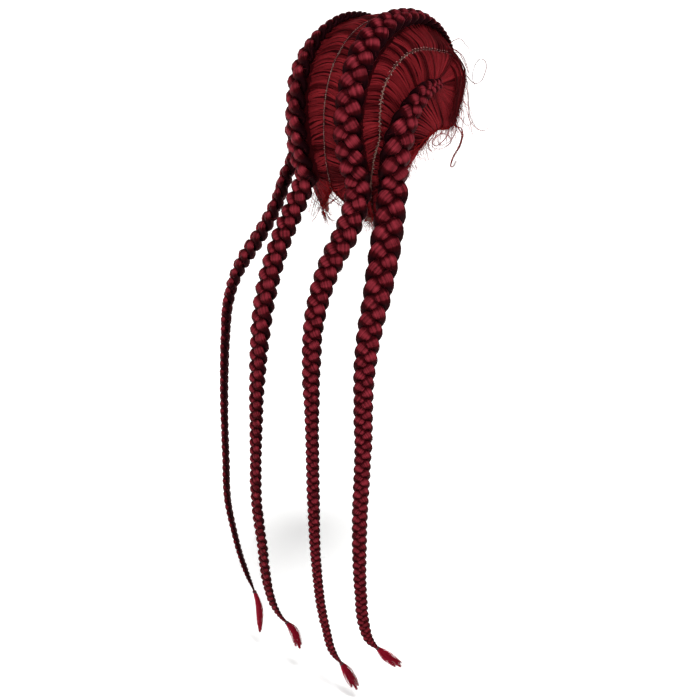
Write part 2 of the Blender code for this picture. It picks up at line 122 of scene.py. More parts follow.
LEFT_INNER_HANGING = (
    (0.14, 0.03, 0.03, 0.95), (0.30, 0.10, 0.065, 0.92), (0.62, 0.28, 0.14, 0.92),
    (0.88, 0.53, 0.24, 0.96), (0.92, 0.73, 0.315, 0.92), (0.95, 0.88, 0.41, 0.78),
    (0.98, 0.98, 0.565, 0.61), (1.0, 0.98, 0.70, 0.57), (0.93, 0.88, 0.80, 0.535),
    (0.92, 0.65, 0.915, 0.49), (0.88, 0.48, 0.96, 0.40), (0.72, 0.34, 0.99, 0.22),
    (0.60, 0.28, 1.0, 0.12), (0.26, 0.15, 1.056, 0.0),
)
LEFT_OUTER_HANGING = (
    (0.15, 0.14, 0.07, 0.96), (0.21, 0.26, 0.107, 0.93), (0.32, 0.37, 0.144, 0.94),
    (0.50, 0.49, 0.19, 0.96), (0.79, 0.60, 0.253, 0.90), (0.98, 0.72, 0.332, 0.82),
    (1.0, 0.84, 0.407, 0.71), (1.0, 0.95, 0.507, 0.66), (0.99, 1.0, 0.675, 0.59),
    (0.97, 1.0, 0.79, 0.56), (0.90, 0.95, 0.848, 0.50), (0.82, 0.86, 0.91, 0.45),
    (0.74, 0.72, 0.964, 0.36), (0.66, 0.63, 1.0, 0.13), (0.63, 0.49, 1.104, 0.0),
)

# Each plait: its side, route, width, hang, sway, stand-off, the way it faces where it hangs, its
# random seed and how far its tuft is stretched
PLAITS = (
    SimpleNamespace(
        name="right_inner", side=-1, on_head=RIGHT_INNER_ON_HEAD, hanging=RIGHT_INNER_HANGING,
        width=0.031, hang=0.599, sway=0.035, stand_off=0.045, facing=-15, seed=3, tuft=1.2,
    ),
    SimpleNamespace(
        name="right_outer", side=-1, on_head=OUTER_ON_HEAD, hanging=RIGHT_OUTER_HANGING,
        width=0.0345, hang=0.548, sway=0.025, stand_off=0.068, facing=-35, seed=11, tuft=1.0,
    ),
    SimpleNamespace(
        name="left_inner", side=1, on_head=LEFT_INNER_ON_HEAD, hanging=LEFT_INNER_HANGING,
        width=0.030, hang=0.573, sway=0.050, stand_off=0.040, facing=8, seed=23, tuft=1.0,
    ),
    SimpleNamespace(
        name="left_outer", side=1, on_head=OUTER_ON_HEAD[:-1], hanging=LEFT_OUTER_HANGING,
        width=0.027, hang=0.583, sway=0.085, stand_off=0.043, facing=48, seed=41, tuft=1.0,
    ),
)

# A tuft's locks, as in the solids: lean across and outwards, reach, and share of the fullest
TUFT_LOCKS = ((0.0, 0.1, 1.0, 1.0), (0.8, 0.3, 0.86, 0.72), (-0.7, -0.3, 0.93, 0.72))
LOCK_STRAIGHT = 0.3

# Loose strands: each hair's share of its piece's thickness, hairs, spread at the tip in mm, and
# then the places in 0.1 mm
TEMPLE_STRANDS = (
    (0.9, 18, 4.0, (-558, -384, -316), (-638, -459, -376), (-682, -536, -492), (-717, -570, -627),
     (-763, -484, -766), (-780, -401, -909), (-796, -327, -1030), (-808, -258, -1119)),
    (0.9, 18, 4.0, (-608, -347, -373), (-699, -417, -452), (-745, -453, -585), (-781, -392, -728),
     (-796, -321, -872), (-803, -278, -999), (-822, -182, -1071)),
    (0.8, 8, 2.5, (-545, -370, -291), (-602, -469, -337), (-628, -589, -449), (-651, -668, -569),
     (-670, -666, -691), (-758, -502, -792), (-771, -432, -915), (-776, -392, -1021)),
    (0.9, 14, 4.0, (-655, -256, -417), (-743, -341, -526), (-783, -330, -675), (-798, -278, -821),
     (-808, -232, -946), (-826, -137, -1041)),
    (0.45, 2, 0.6, (-472, -568, -340), (-507, -633, -267), (-568, -681, -244), (-621, -707, -298),
     (-667, -722, -373), (-663, -711, -417), (-627, -685, -423)),
    (0.5, 4, 1.2, (-473, -581, -353), (-558, -644, -374), (-624, -672, -472), (-673, -685, -558),
     (-697, -693, -612)),
    (0.4, 3, 1.5, (-487, -588, -378), (-597, -668, -407), (-657, -686, -515), (-685, -689, -613)),
    (0.55, 2, 0.5, (-635, -517, -579), (-681, -677, -646), (-720, -703, -702), (-755, -733, -730),
     (-801, -765, -712), (-832, -795, -634), (-843, -812, -533), (-816, -808, -468),
     (-779, -782, -458), (-749, -749, -502), (-729, -724, -590), (-731, -716, -679),
     (-756, -732, -747)),
    (0.5, 3, 0.8, (-650, -511, -618), (-679, -674, -691), (-696, -685, -826), (-697, -700, -965),
     (-711, -737, -1142), (-755, -757, -1220), (-807, -786, -1263), (-859, -811, -1272)),
    (0.35, 2, 0.4, (-657, -522, -660), (-692, -679, -803), (-701, -704, -965), (-713, -736, -1176),
     (-807, -786, -1263), (-877, -824, -1249), (-890, -841, -1180), (-836, -816, -1137),
     (-771, -772, -1174)),
    (0.28, 5, 3.0, (-721, -409, -755), (-723, -574, -897), (-678, -721, -1063), (-724, -742, -1210),
     (-756, -743, -1321)),
    (0.28, 5, 3.0, (-726, -411, -796), (-675, -681, -954), (-694, -755, -1020), (-737, -758, -1130),
     (-710, -725, -1267)),
    (0.28, 5, 2.5, (-744, -370, -849), (-734, -525, -1002), (-646, -693, -1178),
     (-704, -716, -1301), (-760, -739, -1378)),
    (0.28, 4, 2.5, (-737, -413, -920), (-639, -699, -1111), (-684, -605, -1251),
     (-686, -687, -1415)),
    (0.28, 4, 2.0, (-752, -369, -975), (-719, -551, -1122), (-686, -716, -1199),
     (-731, -749, -1152)),
    (0.9, 5, 0.8, (-785, -222, -1099), (-785, -367, -1157), (-679, -612, -1258),
     (-643, -675, -1338), (-634, -656, -1417), (-724, -444, -1477), (-740, -349, -1544),
     (-733, -341, -1590), (-662, -497, -1647), (-628, -582, -1615)),
    (0.5, 4, 1.0, (-782, -245, -1060), (-771, -405, -1182), (-658, -627, -1362),
     (-720, -467, -1452), (-744, -361, -1511), (-731, -362, -1571)),
    (0.4, 5, 0.8, (-785, -222, -1099), (-820, -151, -1201), (-818, -45, -1273), (-816, 80, -1297),
     (-816, 137, -1242), (-823, 75, -1185), (-824, -52, -1184), (-809, -206, -1257),
     (-798, -242, -1321)),
    (0.4, 5, 0.8, (-798, -96, -1077), (-829, -9, -1165), (-819, 105, -1225), (-814, 133, -1288),
     (-814, 39, -1338), (-810, -115, -1343), (-802, -236, -1297), (-805, -248, -1219)),
    (0.4, 4, 1.0, (-774, -293, -1069), (-788, -345, -1193), (-800, -257, -1278),
     (-811, -131, -1312), (-818, -10, -1301), (-821, 51, -1245)),
    (0.35, 5, 1.2, (-799, 47, -1096), (-821, 127, -1187), (-811, 202, -1254), (-808, 159, -1329),
     (-811, 53, -1347)),
    (0.4, 6, 1.5, (-797, 113, -1086), (-817, 194, -1176), (-801, 260, -1267), (-775, 350, -1322),
     (-748, 422, -1380)),
    (0.4, 6, 1.5, (-787, 205, -1136), (-797, 293, -1229), (-771, 382, -1295), (-749, 423, -1368),
     (-729, 430, -1493), (-715, 391, -1614)),
    (0.35, 5, 1.2, (-767, 313, -1207), (-769, 397, -1292), (-742, 431, -1401), (-729, 393, -1544)),
)
NAPE_STRANDS = (
    (0.5, 3, 0.8, (-176, 878, -1721), (-117, 876, -1821), (34, 836, -1924), (221, 724, -2072),
     (211, 684, -2178), (96, 714, -2180)),
    (0.35, 4, 1.0, (-166, 898, -1674), (-76, 878, -1828), (95, 817, -1950), (259, 714, -2057),
     (420, 564, -2188)),
    (0.35, 4, 1.5, (-100, 905, -1685), (16, 873, -1844), (153, 801, -1963), (304, 697, -2045)),
    (0.4, 8, 2.0, (-24, 915, -1673), (119, 857, -1865), (414, 623, -2091), (443, 695, -2188)),
    (0.4, 8, 2.0, (19, 928, -1631), (236, 825, -1868), (428, 693, -2067), (451, 720, -2196)),
    (0.4, 8, 2.5, (101, 918, -1648), (379, 730, -1899), (438, 716, -2053), (457, 747, -2156)),
    (0.35, 5, 1.5, (23, 894, -1730), (196, 803, -1935), (412, 608, -2118), (443, 661, -2231),
     (455, 699, -2260)),
    (0.35, 4, 1.2, (-222, 867, -1717), (-228, 836, -1845), (-253, 779, -1943), (-291, 722, -2005)),
    (0.35, 4, 1.2, (-256, 825, -1787), (-284, 782, -1903), (-311, 711, -2004), (-355, 642, -2080)),
)

# The combed hair: its under-layer's share of the thickness, its locks, its rise under a plait as a
# share of the plait's width, and the head's mean radius, which turns angles into distances
BASE_SHARE = 0.88
BASE_ROWS = 33
BASE_COLUMNS = 160
LOCK_POINTS = 11
LOCK_SPACING = 0.0012
RIDGE_RISE = 0.30
HEAD_RADIUS = 0.1

# Soft hairs along the hairline: how many, their thickness, length and height over the lace
HAIRLINE_HAIRS = 540
HAIRLINE_POINTS = 10
HAIRLINE_THICKNESS = 0.0005
HAIRLINE_SHORTEST = 0.005
HAIRLINE_RANGE = 0.011
HAIRLINE_LIFT = 0.0012
EDGE_POINTS = 400
STRAND_POINTS = 34
STRAND_UNIT = 0.0001

# The partings' knots, the cap's hem and the elastic's winding
KNOT_LIFT = 0.0012
PARTING_POINTS = 200
HEM_INSET = 0.0019
HEM_WIDTH = 0.0032
ELASTIC_TURNS = 3.0
ELASTIC_POINTS = 73
ELASTIC_HEIGHT = 0.0013
ELASTIC_THICKNESS = 0.0009

# A plait's strands: one whole turn as a share of the width, the rings in that turn, and the least
# width that a turn is measured by
STRAND_PERIOD = 1.74
RINGS_IN_PERIOD = 20
NARROWEST = 0.0042

# Stray hairs on a plait: how many on a square metre, their length, and their radius as its share
STRAY_DENSITY = 15000.0
STRAY_LENGTH = 0.009
STRAY_STOUTNESS = 0.0099

# Each hair finish: deep, middle and bright colour (streaks, and the painted highlight on crowns),
# roughness, streaks round a lock, the heights at which its painted crease shade starts and ends,
# and sheen
HAIR_FINISHES = (
    ("plaited burgundy hair", (40, 3, 6), (66, 8, 13), (142, 45, 56), 0.42, 9.0, 0.25, 1.0, 0.35),
    ("combed burgundy hair", (50, 5, 8), (80, 10, 15), (136, 35, 41), 0.5, 6.0, -0.95, 0.3, 0.3),
    ("loose burgundy hair", (92, 8, 12), (130, 14, 18), (172, 36, 36), 0.45, 2.0, -0.95, 0.3, 0.1),
    ("loose burgundy ends", (122, 8, 26), (166, 16, 46), (196, 48, 72), 0.45, 2.0, -0.95, 0.3, 0.1),
)
# The painted crease shade's colour, the sheen's tint, and how fast the streaks change along a lock
CREASE_SHADE_COLOUR = (23, 3, 7)
SHEEN_COLOUR = (1.0, 0.30, 0.40, 1.0)
STREAK_PACE = 28.0

# The lace net's threads in one radian round the head, and in one metre up
NET_AROUND = 130.0
NET_UP = 1500.0

# The floor, and what several functions share
FLOOR_HALF = 30.0
FLOOR_LEVEL = -0.81
SIDES = (("right", -1), ("left", 1))
CROWN = np.array([0, 0, CROWN_HEIGHT])
HALVES = (0.5, 0.5, 0.5)
EVEN_LOCK = {"Root": 1.0, "Tip": 1.0, "Wander": 0.0}


def unit(vectors):
    return vectors / np.linalg.norm(vectors, axis=-1, keepdims=True)


def eased(share):
    """A share from 0 to 1 with a soft start and end."""
    return share * share * (3 - 2 * share)


def turned(turn, side):
    """The direction turned up and back from the face, then to the wearer's left."""
    lift, lean = np.radians(turn), np.radians(side)
    parts = (np.sin(lean), -np.cos(lean) * np.cos(lift), np.cos(lean) * np.sin(lift))
    return np.stack(np.broadcast_arrays(*parts), -1)


def rounded(around, rise):
    """The direction this far round from the face, then up."""
    way, up = np.radians(around), np.radians(rise)
    parts = (np.sin(way) * np.cos(up), -np.cos(way) * np.cos(up), np.sin(up))
    return np.stack(np.broadcast_arrays(*parts), -1)


def half_axes(ways, lift):
    """The head form's half axes in these directions, grown by lift."""
    width = np.full(ways.shape[:-1], HEAD_HALF_WIDTH)
    depth = np.where(ways[..., 1] < 0, HEAD_FRONT, HEAD_BACK)
    height = np.where(ways[..., 2] > 0, CROWN_HEIGHT, NAPE_DEPTH)
    return np.stack([width, depth, height], -1) + np.asarray(lift)[..., None]


def head_point(ways, lift):
    """The points of the head form, grown by lift, in these directions from its middle."""
    axes = half_axes(ways, lift)
    form = (np.abs(ways / axes) ** HEAD_SQUARENESS).sum(-1) ** (-1 / HEAD_SQUARENESS)
    sideways = ways[..., 0] / (NECK_HALF_WIDTH + lift)
    backwards = ways[..., 1] / (NECK_BACK + lift)
    neck = 1 / np.maximum(np.hypot(sideways, backwards), 1e-3)
    joint = (form**NECK_BLEND + np.minimum(neck, 1) ** NECK_BLEND) ** (1 / NECK_BLEND)
    reach = np.where(ways[..., 2] < 0, joint, form)
    return ways * reach[..., None] - CROWN


def head_normal(ways, lift):
    """The form's outward normals there."""
    axes = half_axes(ways, lift)
    points = head_point(ways, lift) + CROWN
    return unit(np.sign(points) * np.abs(points / axes) ** (HEAD_SQUARENESS - 1) / axes)


def temple_fullness(ways):
    """How much the hair stands prouder where it rounds the temples."""
    x, y, z = rounded(*TEMPLE_CENTRE)
    close = np.abs(ways[..., 0]) * x + ways[..., 1] * y + ways[..., 2] * z
    away = np.degrees(np.arccos(np.clip(close, -1, 1)))
    return TEMPLE_FULLNESS * eased(np.clip(1 - away / TEMPLE_REACH, 0, 1))


def spline(knots, steps):
    """Points of a smooth curve through the knots, whose first three numbers are a place."""
    knots = np.asarray(knots, float)
    gaps = np.linalg.norm(np.diff(knots[:, :3], axis=0), axis=1)[:, None]
    rates = np.diff(knots, axis=0) / gaps
    inner = (rates[:-1] * gaps[1:] + rates[1:] * gaps[:-1]) / (gaps[1:] + gaps[:-1])
    slopes = np.vstack([rates[:1], inner, rates[-1:]])[:, None]
    t = (np.arange(steps) / steps)[None, :, None]
    blend = eased(t)
    points = knots[:-1, None] * (1 - blend) + knots[1:, None] * blend
    spans = gaps[:, None]
    points = points + slopes[:-1] * spans * t * (1 - t) ** 2 - slopes[1:] * spans * t * t * (1 - t)
    return np.vstack([points.reshape(-1, knots.shape[1]), knots[-1:]])


def lengths_along(points):
    steps = np.linalg.norm(np.diff(points[:, :3], axis=0), axis=1)
    return np.concatenate([[0.0], np.cumsum(steps)])


def at_lengths(points, lengths, wanted):
    """The line's numbers at these distances along it."""
    return np.stack([np.interp(wanted, lengths, column) for column in points.T], -1)


def spaced(points, count):
    """The same line as this many evenly spaced points."""
    lengths = lengths_along(points)
    return at_lengths(points, lengths, np.linspace(0, lengths[-1], count))


def evenly(knots, count):
    """A smooth curve through the knots, as this many evenly spaced points."""
    return spaced(spline(knots, SPLINE_STEPS), count)


def mirrored(ways, side):
    return ways * np.array([side, 1, 1])


def middle_line(count):
    """The middle parting's directions, from the forehead to the nape."""
    forehead, crown = turned(CAP_EDGE[0][1], 0), np.array([0.0, 0, 1])
    behind = forehead * (1, -1, 1)
    return unit(evenly([forehead, crown, behind, rounded(180, CAP_EDGE[-1][1])], count))


def parting_line(side, count):
    """The side parting's directions, from the forehead to the nape."""
    rows = np.array(SIDE_PARTING, float)
    return mirrored(unit(evenly(turned(rows[:, 0], rows[:, 1]), count)), side)


def cap_edge_line():
    """The cap's edge on the wearer's left, from the forehead to the nape."""
    rows = np.array(CAP_EDGE, float)
    return spline(rounded(rows[:, 0], rows[:, 1]), SPLINE_STEPS)


def outer_edge_line(side, count):
    """The cap's edge from the side parting's front end to its nape end."""
    whole = cap_edge_line()
    ends = turned(*np.array([SIDE_PARTING[0], SIDE_PARTING[-1]]).T)
    front, back = np.arctan2(ends[:, 0], -ends[:, 1])
    round_from_face = np.arctan2(whole[:, 0], -whole[:, 1])
    kept = whole[(round_from_face > front) & (round_from_face < back)]
    return mirrored(unit(spaced(kept, count)), side)


def pulled_in(ways, towards, distance):
    """The directions moved over the form by this distance."""
    reach = np.linalg.norm(head_point(ways, 0) + CROWN, axis=-1)
    gap = np.arccos(np.clip((ways * towards).sum(-1), -1, 1))
    share = np.minimum(distance / np.maximum(reach * gap, 1e-6), 1)[:, None]
    return unit(ways * (1 - share) + towards * share)


def plait_knots(plait):
    """The plait's line as rows of place, face direction and width. The last is its tuft's tip."""
    seat = LACE_THICKNESS + SEAT_GAP + HAIR_THICKNESS
    rows = np.array(plait.on_head, float)
    ways = turned(rows[:, 0], plait.side * rows[:, 1])
    widths = rows[:, 2] * plait.width
    normals = head_normal(ways, seat)
    rise = SEAT_CLEARANCE + UNDERSIDE * PLAIT_THICKNESS * widths / 2
    places = head_point(ways, seat) + normals * rise[:, None]
    on_head = np.column_stack([places, normals, widths])
    rows = np.array(plait.hanging, float)
    shift = rows[:, :3] * (plait.sway, plait.stand_off, -plait.hang)
    angle = math.radians(plait.facing)
    face = np.tile([math.sin(angle), math.cos(angle), 0], (len(rows), 1))
    hanging = np.column_stack([places[-1] + shift, face, rows[:, 3] * plait.width])
    return np.vstack([on_head, hanging])


def plait_line(plait):
    """The plait's middle line, one point to each ring of a strand, down to its elastic."""
    points = spline(plait_knots(plait), SPLINE_STEPS)
    lengths = lengths_along(points)
    widths = np.maximum(points[:, 6], NARROWEST)
    turns = np.concatenate([[0], np.cumsum(np.diff(lengths) / (STRAND_PERIOD * widths[1:]))])
    end = turns[-1 - SPLINE_STEPS]
    count = int(end * RINGS_IN_PERIOD)
    wanted = np.linspace(0, end, count + 1)
    line = at_lengths(points, lengths, np.interp(wanted, turns, lengths))
    along = unit(np.gradient(line[:, :3], axis=0))
    face = line[:, 3:6]
    face = unit(face - along * (face * along).sum(1, keepdims=True))
    leaves = lengths[SPLINE_STEPS * (len(plait.on_head) - 1)]
    return SimpleNamespace(
        lengths=np.interp(wanted, turns, lengths),
        leaves=leaves,
        place=line[:, :3],
        along=along,
        face=face,
        across=np.cross(along, face),
        wide=np.maximum(line[:, 6], PINCH_DIAMETER),
        stitch=wanted * 2 * math.pi,
        tip=points[-1, :3],
    )


def fill(socket, value):
    """Links a wire to the socket, or sets a plain value on it."""
    if isinstance(value, Wire):
        value.tree.links.new(value.socket, socket)
    else:
        socket.default_value = value


class Wire:
    """A socket that sums and products can be written with, in shaders and geometry alike."""

    def __init__(self, tree, socket=None):
        self.tree = tree
        self.socket = socket

    def node(self, kind, values=None, output=0, **settings):
        """Another node. Its sockets go by number where several have the same name."""
        made = self.tree.nodes.new(kind)
        for name, value in settings.items():
            setattr(made, name, value)
        for name, value in (values or {}).items():
            fill(made.inputs[name], value)
        return Wire(self.tree, made.outputs[output])

    def other(self, output):
        """Another output of the same node."""
        return Wire(self.tree, self.socket.node.outputs[output])

    def is_vector(self):
        return self.socket.type in ("VECTOR", "RGBA")

    def worked(self, operation, first, second):
        """The sum, difference or product of two, each a number or a vector."""
        vectors = [
            part.is_vector() if isinstance(part, Wire) else isinstance(part, tuple)
            for part in (first, second)
        ]
        values = {0: first, 1: second}
        if not any(vectors):
            return self.node("ShaderNodeMath", values, operation=operation)
        if operation == "MULTIPLY" and not all(vectors):
            vector, scale = (first, second) if vectors[0] else (second, first)
            operation, values = "SCALE", {0: vector, 3: scale}
        return self.node("ShaderNodeVectorMath", values, operation=operation)

    def __add__(self, other):
        return self.worked("ADD", self, other)

    def __sub__(self, other):
        return self.worked("SUBTRACT", self, other)

    def __rsub__(self, other):
        return self.worked("SUBTRACT", other, self)

    def __mul__(self, other):
        return self.worked("MULTIPLY", self, other)

    __radd__ = __add__
    __rmul__ = __mul__


def noded(kind, *sockets, output=0, **settings):
    """A function that makes this node from its sockets' values, one of them a wire or more."""
    def make(*values):
        wire = next(value for value in values if isinstance(value, Wire))
        return wire.node(kind, dict(zip(sockets, values)), output, **settings)
    return make


sine = noded("ShaderNodeMath", 0, operation="SINE")
unit_of = noded("ShaderNodeVectorMath", 0, operation="NORMALIZE")
dot = noded("ShaderNodeVectorMath", 0, 1, output="Value", operation="DOT_PRODUCT")
vector_of = noded("ShaderNodeCombineXYZ", 0, 1, 2)
noise = noded("ShaderNodeTexNoise", "Vector", "Scale", "Detail")
# A bumped normal from a height, a distance and a strength
raised = noded("ShaderNodeBump", "Height", "Distance", "Strength")
# The value's way from low to high, as a smooth number from a new low, or 0, to a new high, or 1
limited = noded("ShaderNodeMapRange", 0, 1, 2, 3, 4, interpolation_type="SMOOTHSTEP")
# A colour between two, as far as the factor says
blended = noded("ShaderNodeMix", 0, 6, 7, output=2, data_type="RGBA")
# The geometry moved by an offset, and the item once on each point, turned and sized
shifted = noded("GeometryNodeSetPosition", 0, 3)
set_on = noded("GeometryNodeInstanceOnPoints", 0, 2, 5, 6)


def part_of(vector, axis):
    return vector.node("ShaderNodeSeparateXYZ", {0: vector}, axis)


def linear(red, green, blue):
    """A colour from the 0 to 255 numbers of a screen."""
    return (*(((part / 255 + 0.055) / 1.055) ** 2.4 for part in (red, green, blue)), 1.0)


def toned(value, low, high, first, second):
    """A colour that goes from the first to the second as the value rises."""
    return blended(limited(value, low, high), linear(*first), linear(*second))


def surface(name):
    """A material, a wire to start from and its shader."""
    material = bpy.data.materials.new(name)
    material.use_nodes = True
    return material, Wire(material.node_tree), material.node_tree.nodes["Principled BSDF"]


def feed(shader, **values):
    """Fills the shader's sockets of these names."""
    for name, value in values.items():
        fill(shader.inputs[name.replace("_", " ")], value)


def carried(start, name, output="Fac"):
    """What the hair's points carry under this name."""
    return start.node("ShaderNodeAttribute", None, output, attribute_name=name)


def place_in(start):
    return start.node("ShaderNodeTexCoord", None, "Object")


def hair_material(name, deep, middle, bright_and_highlight, roughness, streaks, crease, full, sheen):
    """Hair whose streaks follow each lock, with painted shade where a strand dips under the next
    and a painted highlight on the crown of each lobe.
    """
    material, start, shader = surface(name)
    fibre = carried(start, "fibre", "Vector")
    shade, high = carried(start, "shade"), carried(start, "high")
    around = fibre * streaks
    run = part_of(fibre, 2) * STREAK_PACE + shade * 40.0
    lined = vector_of(part_of(around, 0), part_of(around, 1), run)
    fine, broad = noise(lined, 2.3, 4.0), noise(lined, 0.35, 1.0)
    uneven = shade - 0.5
    tone = limited(fine * 0.55 + broad * 0.45 + uneven * 0.22, 0.36, 0.64)
    # Lighter streaks at random, plus a painted highlight where the strand stands highest
    light = fine * 0.35 + broad * 0.30 + limited(high, 0.6, 1.0) * 0.35 + uneven * 0.3
    colour = blended(tone, linear(*deep), linear(*middle))
    colour = blended(limited(light, 0.50, 0.82), colour, linear(*bright_and_highlight))
    # Painted shade: the crease colour where the strand is low, dipping under the next
    colour = blended(limited(high, crease, full), linear(*CREASE_SHADE_COLOUR), colour)
    rough = limited(fine, 0.3, 0.7, roughness - 0.07, roughness + 0.12)
    bumps = raised(fine * 0.7 + broad * 0.3, 0.0006, 0.8)
    feed(shader, Base_Color=colour, Roughness=rough, Normal=bumps, IOR=1.2)
    feed(shader, Specular_IOR_Level=0.2, Metallic=sheen, Specular_Tint=SHEEN_COLOUR)
    return material


def lace_material():
    """Fine net of beige thread, with the dark of the hair behind its holes."""
    material, start, shader = surface("beige lace net")
    place = place_in(start)
    sides = {0: part_of(place, 0), 1: part_of(place, 1)}
    around = start.node("ShaderNodeMath", sides, operation="ARCTAN2") * NET_AROUND
    height = part_of(place, 2) * NET_UP
    thread = sine(around + height) * sine(around - height)
    net = limited(thread * thread, 0.0, 0.30, 1.0, 0.0)
    skin = toned(noise(place, 60.0), 0.35, 0.65, (190, 150, 132), (206, 166, 146))
    colour = blended(net, linear(104, 48, 46), skin)
    bumps = raised(net, 0.0002, 0.6)
    feed(shader, Base_Color=colour, Roughness=0.85, Normal=bumps, Sheen_Weight=0.2)
    return material


def knot_material():
    material, start, shader = surface("pale parting knots")
    tone = limited(noise(place_in(start), 900.0), 0.3, 0.7)
    colour = blended(tone, linear(110, 50, 52), linear(214, 176, 168))
    feed(shader, Base_Color=colour, Roughness=0.7, Normal=raised(tone, 0.0002, 0.5))
    return material


def elastic_material():
    """Dark elastic, ribbed along its winding."""
    material, start, shader = surface("dark wound elastic")
    rib = sine(part_of(carried(start, "fibre", "Vector"), 2) * 9000.0)
    colour = toned(rib, -1.0, 1.0, (24, 12, 14), (58, 34, 38))
    feed(shader, Base_Color=colour, Roughness=0.6, Normal=raised(rib, 0.0001, 0.5))
    return material


def floor_material():
    material, start, shader = surface("pale floor")
    tone = limited(noise(place_in(start), 1.5), 0.3, 0.7)
    colour = blended(tone, (0.93, 0.93, 0.925, 1), (0.95, 0.95, 0.945, 1))
    feed(shader, Base_Color=colour, Roughness=0.9)
    feed(shader, Emission_Color=(1.0, 1.0, 1.0, 1.0), Emission_Strength=0.45)
    return material


# The kind of socket for each kind of first value
SOCKETS = {float: "NodeSocketFloat", int: "NodeSocketInt", type(None): "NodeSocketMaterial"}


def new_tree(name, **inputs):
    """A geometry tree with these named inputs, and a wire for each, the guide lines first."""
    tree = bpy.data.node_groups.new(name, "GeometryNodeTree")
    add = tree.interface.new_socket
    add("Guides", in_out="INPUT", socket_type="NodeSocketGeometry")
    for label, value in inputs.items():
        socket = add(label, in_out="INPUT", socket_type=SOCKETS[type(value)])
        if value is not None:
            socket.default_value = value
    add("Mesh", in_out="OUTPUT", socket_type="NodeSocketGeometry")
    start = tree.nodes.new("NodeGroupInput")
    given = {socket.name: Wire(tree, socket) for socket in start.outputs if socket.name}
    return tree, SimpleNamespace(**given)


def finish_tree(tree, geometry, material):
    """Realize Instances, smooth faces and the material, then the tree's output."""
    real = geometry.node("GeometryNodeRealizeInstances", {0: geometry})
    smooth = real.node("GeometryNodeSetShadeSmooth", {0: real})
    dressed = smooth.node("GeometryNodeSetMaterial", {0: smooth, 2: material})
    end = tree.nodes.new("NodeGroupOutput")
    tree.links.new(dressed.socket, end.inputs[0])
    return tree


def named(wire, name, kind="FLOAT"):
    """A number that the guide lines carry."""
    return wire.node("GeometryNodeInputNamedAttribute", {0: name}, data_type=kind)


def named_vector(wire, name):
    return named(wire, name, "FLOAT_VECTOR")


def stored(geometry, name, value):
    """The geometry with this number or vector kept on its points."""
    vector = isinstance(value, Wire) and value.is_vector()
    values = {0: geometry, 2: name, 3: value}
    kind = "FLOAT_VECTOR" if vector else "FLOAT"
    return geometry.node("GeometryNodeStoreNamedAttribute", values, data_type=kind)


def lines_of(given):
    return given.Guides.node("GeometryNodeMeshToCurve", {0: given.Guides})


def copied(lines, count):
    """Each guide line this many times, and the number of each copy."""
    copies = lines.node("GeometryNodeDuplicateElements", {0: lines, 2: count}, domain="SPLINE")
    return copies, copies.other("Duplicate Index")


def along_line(wire):
    """The share of the way along each line. Its other output is the length."""
    return wire.node("GeometryNodeSplineParameter")


def round_profile(wire, sides, flatness):
    """A profile whose points keep their way round, flatter along the lock's face."""
    circle = wire.node("GeometryNodeCurvePrimitiveCircle", {0: sides, 4: 1.0})
    place = wire.node("GeometryNodeInputPosition")
    circle = stored(circle, "around", place)
    flat = place * place.node("ShaderNodeCombineXYZ", {0: flatness, 1: 1.0, 2: 1.0})
    return wire.node("GeometryNodeSetPosition", {0: circle, 2: flat})


def tube(curve, profile, scale):
    """A closed solid along each line."""
    values = {0: curve, 1: profile, 2: scale, 3: True}
    return curve.node("GeometryNodeCurveToMesh", values)


def swept(curve, face, profile, scale):
    """A tube whose profile has its flat side towards the face."""
    along = curve.node("GeometryNodeInputTangent")
    upright = unit_of(face - along * dot(face, along))
    facing = curve.node("GeometryNodeSetCurveNormal", {0: curve, 2: upright}, mode="FREE")
    return tube(facing, profile, scale)


def finish_hair(tree, mesh, hair):
    """Keeps where each point sits round and along its lock, for the streaks, and finishes."""
    around = named_vector(mesh, "around")
    fibre = vector_of(part_of(around, 0), part_of(around, 1), named(mesh, "run"))
    return finish_tree(tree, stored(mesh, "fibre", fibre), hair)


def drawn(wire, low, high, seed):
    """A random number for each point."""
    values = {2: low, 3: high, 8: seed}
    return wire.node("FunctionNodeRandomValue", values, 1, data_type="FLOAT")


def plait_tree():
    """Three strands that swing outwards over the plait and inwards under it, with grooves."""
    tree, given = new_tree(
        "plait", Across=0.262, Rise=0.165, Stoutness=0.25, Swell=0.04, Flatness=0.62,
        Groove=0.022, Lumps=0.035, Sides=18, Seed=0.0, Hair=None,
    )
    lines = lines_of(given)
    strands, number = copied(lines, 3)
    share, wide = along_line(lines), named(lines, "wide")
    face, across = named_vector(lines, "face"), named_vector(lines, "across")
    phase = named(lines, "stitch") + number * (2 * math.pi / 3)
    high = sine(phase * 2.0)
    tight = limited(share, 0.35, 0.85)
    aside = sine(phase) * wide * given.Across * (1.0 - tight * 0.10)
    rise = high * wide * given.Rise * (1.0 - tight * 0.25)
    curve = shifted(strands, across * aside + face * rise)
    # The strand's height, kept for the painted crease shade and painted highlight, softer near the
    # tie
    curve = stored(curve, "high", high * (1.0 - tight * 0.4) + tight * 0.34)
    curve = stored(curve, "shade", number * 0.08 + 0.46)
    curve = stored(curve, "run", share.other("Length"))
    profile = round_profile(lines, given.Sides, given.Flatness)
    scale = wide * given.Stoutness * (1.0 + given.Swell * high) * (1.0 + tight * 0.12)
    mesh = swept(curve, face, profile, scale)
    around = named_vector(lines, "around") * 2.7
    along = named(lines, "run") * 45.0 + named(lines, "shade") * 17.0 + given.Seed
    place = vector_of(part_of(around, 0), part_of(around, 1), along)
    groove = (noise(place, 1.0, 1.5) - 0.5) * given.Groove
    lump = (noise(place, 0.33, 0.0) - 0.5) * given.Lumps
    normal = lines.node("GeometryNodeInputNormal")
    mesh = shifted(mesh, normal * ((groove + lump) * wide * 2.0))
    return finish_hair(tree, mesh, given.Hair)


